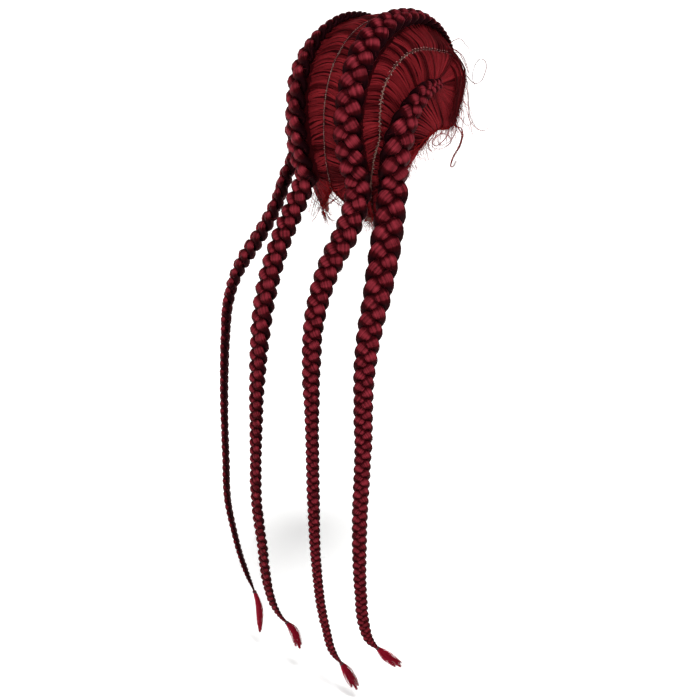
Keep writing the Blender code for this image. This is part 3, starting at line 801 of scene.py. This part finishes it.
def lock_tree():
    """A flat lock of hair along each guide line, thinner at its root and tip."""
    tree, given = new_tree(
        "lock", Flatness=0.0, Root=0.7, Tip=0.6, Wander=0.0005, Sides=5, Hair=None
    )
    lines = lines_of(given)
    share = along_line(lines)
    place = lines.node("GeometryNodeInputPosition")
    drift = noise(place, 130.0, 1.0).other("Color") - HALVES
    curve = shifted(lines, drift * (given.Wander * 2.0))
    curve = stored(curve, "run", share.other("Length"))
    curve = stored(curve, "high", 1.0)
    full = limited(share, 0.0, 0.3, given.Root, 1.0) * limited(share, 0.6, 1.0, 1.0, given.Tip)
    face, profile = named_vector(lines, "face"), round_profile(lines, given.Sides, given.Flatness)
    mesh = swept(curve, face, profile, named(lines, "wide") * full * 0.5)
    return finish_hair(tree, mesh, given.Hair)


def loose_tree():
    """Fine hairs in a loose bundle round each guide line."""
    tree, given = new_tree(
        "loose hairs", Count=1, Thickness=0.00062, Root_spread=0.0004, Tip_spread=0.001,
        Belly=0.0, Curl=0.0012, Curl_scale=2.2, Taper=0.55, Seed=0.0, Hair=None,
    )
    lines = lines_of(given)
    hairs, number = copied(lines, given.Count)
    share = along_line(lines)
    key = vector_of(number, named(lines, "shade") * 91.0, given.Seed)
    chance = lines.node("ShaderNodeTexWhiteNoise", {0: key}, "Color", noise_dimensions="3D")
    widening = given.Tip_spread * named(lines, "spread") - given.Root_spread
    spread = given.Root_spread + widening * share + given.Belly * sine(share * math.pi)
    stray = (chance - HALVES) * (spread * 2.0)
    path = chance * 30.0 + vector_of(share * given.Curl_scale, 0.0, 0.0)
    curl = (noise(path, 1.0, 1.0).other("Color") - HALVES) * (share * given.Curl * 2.0)
    curve = stored(shifted(hairs, stray + curl), "run", share.other("Length"))
    curve = stored(curve, "high", 1.0)
    curve = stored(curve, "shade", part_of(chance, 0))
    scale = named(lines, "wide") * given.Thickness * (1.0 - share * given.Taper)
    return finish_hair(tree, tube(curve, round_profile(lines, 3, 1.0), scale), given.Hair)


def knot_tree():
    """Small knots in a zigzag along each parting."""
    tree, given = new_tree(
        "parting knots", Pitch=0.0, Zigzag=0.0, Size=0.0, Length=0.0, Knots=None
    )
    lines = lines_of(given)
    values = {0: lines, 3: given.Pitch}
    curve = lines.node("GeometryNodeResampleCurve", values, mode="LENGTH")
    turn = sine(lines.node("GeometryNodeInputIndex") * math.pi + math.pi / 2)
    across = named_vector(lines, "across")
    chance = drawn(lines, 0.45, 1.25, 0)
    points = shifted(curve, across * (turn * given.Zigzag * chance))
    slant = unit_of(lines.node("GeometryNodeInputTangent") + across * (turn * 0.9))
    values = {0: named_vector(lines, "face"), 1: slant}
    rotation = lines.node("FunctionNodeAxesToRotation", values)
    ball = lines.node("GeometryNodeMeshIcoSphere", {0: 1.0, 1: 2})
    size = vector_of(given.Length * chance, given.Size, given.Size)
    return finish_tree(tree, set_on(points, ball, rotation, size), given.Knots)


def stray_tree():
    """Short hairs that stand off a plait's surface."""
    tree, given = new_tree("stray hairs", Seed=0, Hair=None)
    plait = given.Guides
    values = {0: plait, 4: STRAY_DENSITY, 6: given.Seed}
    points = plait.node("GeometryNodeDistributePointsOnFaces", values)
    values = {0: 5, 1: (0, 0, -0.05), 2: (0.25, 0, 0.25), 3: (0.6, 0.1, 0.25), 4: (1, 0, 0.18)}
    line = plait.node("GeometryNodeCurvePrimitiveBezierSegment", values)
    scale = (1.0 - along_line(line) * 0.7) * STRAY_STOUTNESS
    hair = tube(line, round_profile(line, 3, 1.0), scale)
    values = {"Min": (0, 0, -math.pi), "Max": (0.5, 0.5, math.pi), "Seed": given.Seed}
    spin = line.node("FunctionNodeRandomValue", values, data_type="FLOAT_VECTOR")
    spin = line.node("FunctionNodeEulerToRotation", {0: spin})
    values = {0: points.other("Rotation"), 1: spin}
    rotation = line.node("FunctionNodeRotateRotation", values, rotation_space="LOCAL")
    size = drawn(line, 0.5, 1.2, given.Seed) * STRAY_LENGTH
    hairs = stored(set_on(points, hair, rotation, size), "high", 1.0)
    return finish_tree(tree, hairs, given.Hair)


def keep(mesh, key, values):
    """Stores a number or a vector on each of the mesh's points."""
    values = np.asarray(values, np.float32)
    kind, field = ("FLOAT", "value") if values.ndim == 1 else ("FLOAT_VECTOR", "vector")
    mesh.attributes.new(key, kind, "POINT").data.foreach_set(field, values.ravel())


def guide_mesh(name, lines):
    """A mesh of open lines, with the numbers and vectors that each line's points carry."""
    mesh = bpy.data.meshes.new(name)
    sizes = [len(line["place"]) for line in lines]
    starts = np.cumsum([0] + sizes)
    edges = [
        (point, point + 1)
        for start, size in zip(starts.tolist(), sizes) for point in range(start, start + size - 1)
    ]
    mesh.from_pydata(np.vstack([line["place"] for line in lines]).tolist(), edges, [])
    for key in lines[0]:
        if key != "place":
            keep(mesh, key, np.concatenate([
                line[key] if np.ndim(line[key]) else np.full(size, line[key])
                for line, size in zip(lines, sizes)
            ]))
    return mesh


def linked(name, data):
    item = bpy.data.objects.new(name, data)
    bpy.context.scene.collection.objects.link(item)
    return item


def grown(name, tree, source, **values):
    """The plain object that a tree grows from guide lines or a mesh."""
    item = linked(name, guide_mesh(name, source) if isinstance(source, list) else source)
    modifier = item.modifiers.new("grow", "NODES")
    modifier.node_group = tree
    for socket in tree.interface.items_tree:
        if socket.in_out == "INPUT" and socket.name in values:
            modifier[socket.identifier] = values[socket.name]
    graph = bpy.context.evaluated_depsgraph_get()
    made = bpy.data.meshes.new_from_object(
        item.evaluated_get(graph), preserve_all_data_layers=True, depsgraph=graph
    )
    item.modifiers.clear()
    item.data = made
    made.name = name
    return item


def joined(name, items):
    """One object out of several plain ones."""
    for item in bpy.context.selected_objects:
        item.select_set(False)
    for item in items:
        item.select_set(True)
    bpy.context.view_layer.objects.active = items[0]
    bpy.ops.object.join()
    items[0].name = name
    items[0].data.name = name
    return items[0]


def placed(piece, slot, *nodes):
    """The piece rides on the wig and stands for these solids. Its finish slot is not used."""
    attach(piece, "root")
    if nodes:
        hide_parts(*nodes)
    return piece


def add_camera():
    data = bpy.data.cameras.new("camera")
    data.lens = 77.14
    data.sensor_width = 36.0
    camera = linked("camera", data)
    camera.location = (-1.0553, 1.3141, 0.2415)
    camera.rotation_euler = (math.radians(69.4), 0.0, math.radians(220.0))
    bpy.context.scene.camera = camera


def add_lamp(kind, name, place, aim, power, **settings):
    """A lamp at this place that shines towards the aim."""
    data = bpy.data.lights.new(name, kind)
    data.energy = power
    for key, value in settings.items():
        setattr(data, key, value)
    lamp = linked(name, data)
    lamp.location = place
    x, y, z = np.subtract(aim, place)
    lamp.rotation_euler = (math.atan2(math.hypot(x, y), -z), 0.0, math.atan2(y, x) - math.pi / 2)


def add_studio():
    """The pale floor, soft light and the world's even fill."""
    mesh = bpy.data.meshes.new("floor")
    corners = [(x * FLOOR_HALF, y * FLOOR_HALF, FLOOR_LEVEL)
               for x, y in ((-1, -1), (1, -1), (1, 1), (-1, 1))]
    mesh.from_pydata(corners, [], [(0, 1, 2, 3)])
    mesh.materials.append(floor_material())
    floor = linked("floor", mesh)
    add_lamp("SUN", "key", (-1.1, 0.75, 2.6), (0, 0, 0), 2.45, angle=math.radians(14))
    add_lamp("AREA", "side", (1.4, 1.8, 0.9), (0, 0.05, -0.3), 5.0, shape="DISK", size=0.9)
    world = bpy.data.worlds.new("even fill")
    world.use_nodes = True
    way = Wire(world.node_tree).node("ShaderNodeTexCoord", None, "Generated")
    strength = limited(part_of(way, 2), 0.05, 0.6, 0.6, 0.26)
    sky = world.node_tree.nodes["Background"]
    feed(sky, Strength=strength, Color=(1.0, 0.99, 0.98, 1.0))
    bpy.context.scene.world = world
    bpy.context.scene.view_settings.view_transform = "Standard"


def add_plaits(lines, hair):
    tree, strays = plait_tree(), stray_tree()
    for plait in PLAITS:
        name = f"plait_{plait.name}"
        keys = ("place", "face", "across", "wide", "stitch")
        guide = {key: getattr(lines[plait.name], key) for key in keys}
        body = grown(name, tree, [guide], Hair=hair, Seed=float(plait.seed))
        fuzz = grown("fuzz", strays, body.data.copy(), Hair=hair, Seed=plait.seed)
        placed(joined(name, [body, fuzz]), "hair", f"braid_{plait.name}")


def seam_of(line):
    """The directions, lengths and widths of a plait's line on the head."""
    on_head = line.lengths < line.leaves
    return unit(line.place[on_head] + CROWN), line.lengths[on_head], line.wide[on_head]


def ridge(ways, line):
    """How far the under-layer rises into the plait above it."""
    axis, _, widths = seam_of(line)
    close = ways @ axis.T
    away = np.arccos(np.clip(close.max(-1), -1, 1)) * HEAD_RADIUS
    wide = widths[close.argmax(-1)]
    return RIDGE_RISE * wide * eased(np.clip(1 - away / (0.5 * wide), 0, 1))


def combed_base(name, line, upper, lower, upper_margin, lower_margin, hair):
    """The closed under-layer of a section, a little lower than the locks that cover it, and painted
    darker as shade in the gaps between them.
    """
    rows, columns = BASE_ROWS, len(upper)
    start, end = pulled_in(upper, lower, upper_margin), pulled_in(lower, upper, lower_margin)
    share = np.linspace(0, 1, rows)[:, None]
    ways = unit(start[None] * (1 - share[..., None]) + end[None] * share[..., None])
    across = EDGE_RISE_ACROSS * np.sin(np.pi * share)
    along = EDGE_RISE_ALONG * np.sin(np.pi * np.linspace(0, 1, columns))[None]
    fullness = EDGE_FULLNESS + (1 - EDGE_FULLNESS) * np.minimum(1, np.minimum(across, along))
    seat = LACE_THICKNESS + SEAT_GAP
    lift = seat + HAIR_THICKNESS * BASE_SHARE * fullness + ridge(ways, line)
    top = head_point(ways, lift + temple_fullness(ways)).reshape(-1, 3)
    under = head_point(ways, np.full(ways.shape[:2], seat)).reshape(-1, 3)
    count = rows * columns
    index = np.arange(count).reshape(rows, columns)
    corners = (index[:-1, :-1], index[1:, :-1], index[1:, 1:], index[:-1, 1:])
    faces = np.stack(corners, -1).reshape(-1, 4)
    rim = np.concatenate([index[0], index[1:, -1], index[-1, -2::-1], index[-2:0:-1, 0]])
    after = np.roll(rim, -1)
    walls = np.stack([rim, after, after + count, rim + count], -1)
    faces = np.concatenate([faces, faces[:, ::-1] + count, walls])
    first = top[faces[0]]
    if np.cross(first[1] - first[0], first[2] - first[0]) @ (first[0] + CROWN) < 0:
        faces = faces[:, ::-1]
    mesh = bpy.data.meshes.new(name)
    mesh.from_pydata(np.vstack([top, under]).tolist(), [], faces.tolist())
    mesh.shade_smooth()
    mesh.materials.append(hair)
    runs = np.broadcast_to(share * 0.04, (rows, columns)).ravel()
    across = np.broadcast_to(np.linspace(0, 60, columns)[None], (rows, columns)).ravel()
    fibre = np.stack([across, across * 0, runs], -1)
    keep(mesh, "fibre", np.vstack([fibre, fibre]))
    # A low tone and a low height, so the under-layer shows painted shade between the locks
    keep(mesh, "shade", np.full(2 * count, 0.35))
    keep(mesh, "high", np.full(2 * count, -0.35))
    return linked(name, mesh)


def combed_guides(roots, line, slant, wide, chance):
    """Paths over the head from each root to the plait, slanting back along it."""
    axis, lengths, widths = seam_of(line)
    nearest = lengths[np.argmax(roots @ axis.T, axis=1)]
    reach = max(len(roots) // 9, 1)
    window = np.hanning(2 * reach + 3)[1:-1]
    padded = np.concatenate([np.full(reach, nearest[0]), nearest, np.full(reach, nearest[-1])])
    spread_out = np.convolve(padded, window / window.sum(), "valid")
    seat = LACE_THICKNESS + SEAT_GAP
    t = np.linspace(0, 1, LOCK_POINTS)
    from_root, halfway, at_plait = np.stack([(1 - t) ** 2, 2 * t * (1 - t), t * t])[..., None]
    rise = np.clip(t / 0.14, 0, 1)
    dive = np.clip((t - 0.62) / 0.38, 0, 1) ** 1.6
    bands = np.convolve(chance.random(len(roots) + 8), np.hanning(11)[1:-1] / 5.0, "valid")
    bands = np.clip(0.5 + (bands - 0.5) * 2.6, 0, 1)
    guides = []
    for root, onto, band in zip(roots, spread_out, bands):
        near = min(np.searchsorted(lengths, onto), len(axis) - 1)
        back = onto + slant * (0.55 + 0.9 * chance.random())
        tail = min(np.searchsorted(lengths, back), len(axis) - 1)
        bend = unit(root * 0.45 + axis[near] * 0.55 + chance.normal(0, 0.012, 3))
        ways = unit(root * from_root + bend * halfway + axis[tail] * at_plait)
        lift = seat + HAIR_THICKNESS * (0.22 + 0.72 * rise) + 0.0004 * chance.random() * rise
        lift = lift + widths[tail] * RIDGE_RISE * dive + temple_fullness(ways)
        guides.append({
            "place": head_point(ways, lift),
            "face": head_normal(ways, lift),
            "wide": wide * (0.65 + 0.75 * chance.random()),
            "shade": 0.8 * band + 0.2 * chance.random(),
        })
    return guides


def add_combed(lines, hair):
    """Each section of combed hair: its under-layer, then locks from both of its edges."""
    tree = lock_tree()
    chance = np.random.default_rng(7)
    half = PARTING_WIDTH / 2
    for word, side in SIDES:
        middle, parting = middle_line(BASE_COLUMNS), parting_line(side, BASE_COLUMNS)
        edge = outer_edge_line(side, BASE_COLUMNS)
        for place, upper, lower, lower_margin, wide, flatness, slant in (
            ("inner", middle, parting, half, 0.0020, 0.13, 0.012),
            ("outer", parting, edge, HAIRLINE_MARGIN, 0.0021, 0.32, 0.010),
        ):
            name = f"combed_{word}_{place}"
            line = lines[f"{word}_{place}"]
            shell = combed_base(name, line, upper, lower, half, lower_margin, hair)
            guides = []
            for roots, towards, margin in ((upper, lower, half), (lower, upper, lower_margin)):
                count = int(lengths_along(head_point(roots, 0))[-1] / LOCK_SPACING)
                steps = np.sort(chance.random(count))
                starts = pulled_in(roots, towards, margin * 0.6)
                starts = unit(at_lengths(starts, np.linspace(0, 1, len(roots)), steps))
                guides += combed_guides(starts, line, slant, wide, chance)
            for end in (0, -1) if place == "inner" else ():
                steps = np.linspace(0.02, 0.98, 40)[:, None]
                starts = unit(upper[end] * (1 - steps) + lower[end] * steps)
                guides += combed_guides(starts, line, 0.002, wide, chance)
            locks = grown(name, tree, guides, Flatness=flatness, Hair=hair)
            placed(joined(name, [shell, locks]), "hair", f"hair_section_{word}_{place}")


def strand_guides(table, side):
    """The guide lines of a table of loose strands, on this side of the head."""
    guides = []
    for number, (thickness, count, spread, *places) in enumerate(table):
        knots = np.array(places, float) * (-side, 1, 1) * STRAND_UNIT
        line = spaced(spline(knots, 8), STRAND_POINTS)
        for hair in range(count):
            shade = (number * 0.37 + hair * 0.21) % 1.0
            guides.append({"place": line, "wide": thickness, "shade": shade, "spread": spread})
    return guides


def edge_arc(side, low, high):
    """The cap's edge between two angles round from the face."""
    rows = np.array(CAP_EDGE, float)
    turns = np.linspace(low, high, 120)
    return mirrored(rounded(turns, np.interp(turns, rows[:, 0], rows[:, 1])), side)


def hairline_guides(edge, inside, hairs, chance):
    """Short soft hairs along an edge, some straight along it and some curled outwards."""
    lift = LACE_THICKNESS + SEAT_GAP + HAIRLINE_LIFT + temple_fullness(edge) * 0.6
    places = head_point(edge, lift)
    along = unit(np.gradient(places, axis=0))
    normal = head_normal(edge, lift)
    outwards = np.cross(along, normal)
    outwards = outwards * np.sign((outwards * (edge - inside)).sum(1))[:, None]
    t = np.linspace(0, 1, HAIRLINE_POINTS)[:, None]
    guides = []
    for _ in range(hairs):
        k = chance.integers(2, len(edge) - 2)
        length = HAIRLINE_SHORTEST + HAIRLINE_RANGE * chance.random() ** 2
        slide = chance.normal(0.7, 0.6)
        curl = chance.normal(0, 1.4)
        way = unit(outwards[k] * 0.5 + along[k] * slide + normal[k] * 0.3 * chance.random())
        bent = np.cross(way, normal[k]) * curl + np.array([0, 0, -0.45])
        start = places[k] - outwards[k] * (0.002 + 0.004 * chance.random())
        place = start + way * length * t + bent * length * t * t
        wide = 0.26 + 0.2 * chance.random()
        guides.append({"place": place, "wide": wide, "shade": chance.random(), "spread": 1.4})
    return guides


def add_loose_hair(combed, loose):
    """Baby hairs at the temples, curls at the nape and soft hairs along the hairline."""
    tree = loose_tree()
    chance = np.random.default_rng(19)
    above = np.array([0, 0.3, 0.95])
    for word, side in SIDES:
        outer, parting = outer_edge_line(side, EDGE_POINTS), parting_line(side, EDGE_POINTS)
        hairline = hairline_guides(outer, parting, HAIRLINE_HAIRS, chance)
        for low, high in ((1, 40), (146, 179)):
            arc = edge_arc(side, low, high)
            hairline += hairline_guides(arc, above, HAIRLINE_HAIRS // 3, chance)
        seed = float(side + 5)
        for place, guides, values in (
            ("temple_edge", strand_guides(TEMPLE_STRANDS[:4], side), {"Hair": combed}),
            ("temple", strand_guides(TEMPLE_STRANDS[4:], side), {"Hair": loose}),
            ("nape", strand_guides(NAPE_STRANDS, side), {"Hair": loose}),
            ("hairline", hairline, {"Hair": loose, "Thickness": HAIRLINE_THICKNESS}),
        ):
            piece = grown(f"{place}_hairs_{word}", tree, guides, Seed=seed, **values)
            placed(piece, "hair")


def add_partings(knots):
    """The pale knots along the middle and side partings."""
    tree = knot_tree()
    seat = LACE_THICKNESS + 0.0003
    fine = {"Pitch": 0.0021, "Zigzag": 0.0003, "Size": 0.00024, "Length": 0.0008}
    coarse = {"Pitch": 0.0023, "Zigzag": 0.0016, "Size": 0.00032, "Length": 0.0011}
    for name, ways, values in (
        ("parting_middle", middle_line(PARTING_POINTS), fine),
        ("parting_right", parting_line(-1, PARTING_POINTS), coarse),
        ("parting_left", parting_line(1, PARTING_POINTS), coarse),
    ):
        lift = seat + values["Size"] + KNOT_LIFT + temple_fullness(ways)
        place = head_point(ways, lift)
        face = head_normal(ways, seat)
        along = unit(np.gradient(place, axis=0))
        guide = {"place": place, "face": face, "across": np.cross(along, face)}
        placed(grown(name, tree, [guide], Knots=knots, **values), "lace")


def add_lace(lace):
    """The net's finish on the cap, and the narrow tape that hems its edge."""
    half = cap_edge_line()
    ways = unit(spaced(np.vstack([mirrored(half[:0:-1], -1), half]), EDGE_POINTS))
    ways = pulled_in(ways, np.broadcast_to([0, 0.2, 0.98], ways.shape), HEM_INSET)
    lift = np.full(len(ways), LACE_THICKNESS * 0.1)
    place, face = head_point(ways, lift), head_normal(ways, lift)
    guide = {"place": place, "face": face, "wide": HEM_WIDTH, "shade": 0.5}
    values = {"Flatness": 0.18, "Sides": 10, "Hair": lace, **EVEN_LOCK}
    placed(grown("lace_hem", lock_tree(), [guide], **values), "lace")
    bpy.context.scene.objects["lace_cap"].material_slots[0].material = lace


def add_ties(lines, elastic):
    """Three turns of thin elastic round each pinched end."""
    tree = lock_tree()
    radius = PINCH_DIAMETER / 2 + 0.0006
    angle = np.linspace(0, ELASTIC_TURNS * 2 * math.pi, ELASTIC_POINTS)[:, None]
    rise = (np.linspace(-0.5, 0.5, ELASTIC_POINTS) * ELASTIC_HEIGHT)[:, None]
    for plait in PLAITS:
        line = lines[plait.name]
        ring = line.across[-1] * np.cos(angle) + line.face[-1] * np.sin(angle)
        place = line.place[-1] + ring * radius + line.along[-1] * rise
        guide = {"place": place, "face": ring, "wide": ELASTIC_THICKNESS, "shade": 0.5}
        values = {"Flatness": 0.8, "Sides": 8, "Hair": elastic, **EVEN_LOCK}
        piece = grown(f"elastic_{plait.name}", tree, [guide], **values)
        placed(piece, "elastic", f"tie_{plait.name}")


def add_tufts(lines, hair):
    """The loose hair below each elastic, as three locks of fine hairs."""
    tree = loose_tree()
    values = {"Count": 70, "Thickness": 0.00034, "Root_spread": 0.0012, "Belly": 0.0019,
              "Curl_scale": 2.0, "Taper": 0.72, "Hair": hair}
    for plait in PLAITS:
        line = lines[plait.name]
        start, along = line.place[-1], line.along[-1]
        guides = []
        for number, (across, outward, reach, stout) in enumerate(TUFT_LOCKS):
            lean = (line.across[-1] * across + line.face[-1] * outward) * TUFT_SPREAD
            tip = start + (line.tip - start) * reach * plait.tuft + lean * 0.7
            straight = start + along * np.linalg.norm(tip - start) * LOCK_STRAIGHT + lean * 0.35
            place = evenly([start - along * 0.001, straight, tip], 11)
            shade = number * 0.37 + 0.1
            guides.append({"place": place, "wide": stout, "shade": shade, "spread": 1.1})
        seed = float(plait.seed)
        tuft = grown(f"loose_end_{plait.name}", tree, guides, Seed=seed, **values)
        placed(tuft, "hair", f"tuft_{plait.name}")


def main():
    add_camera()
    add_studio()
    lines = {plait.name: plait_line(plait) for plait in PLAITS}
    plaited, combed, loose, ends = (hair_material(*finish) for finish in HAIR_FINISHES)
    add_plaits(lines, plaited)
    add_combed(lines, combed)
    add_loose_hair(combed, loose)
    add_partings(knot_material())
    add_lace(lace_material())
    add_ties(lines, elastic_material())
    add_tufts(lines, ends)


main()
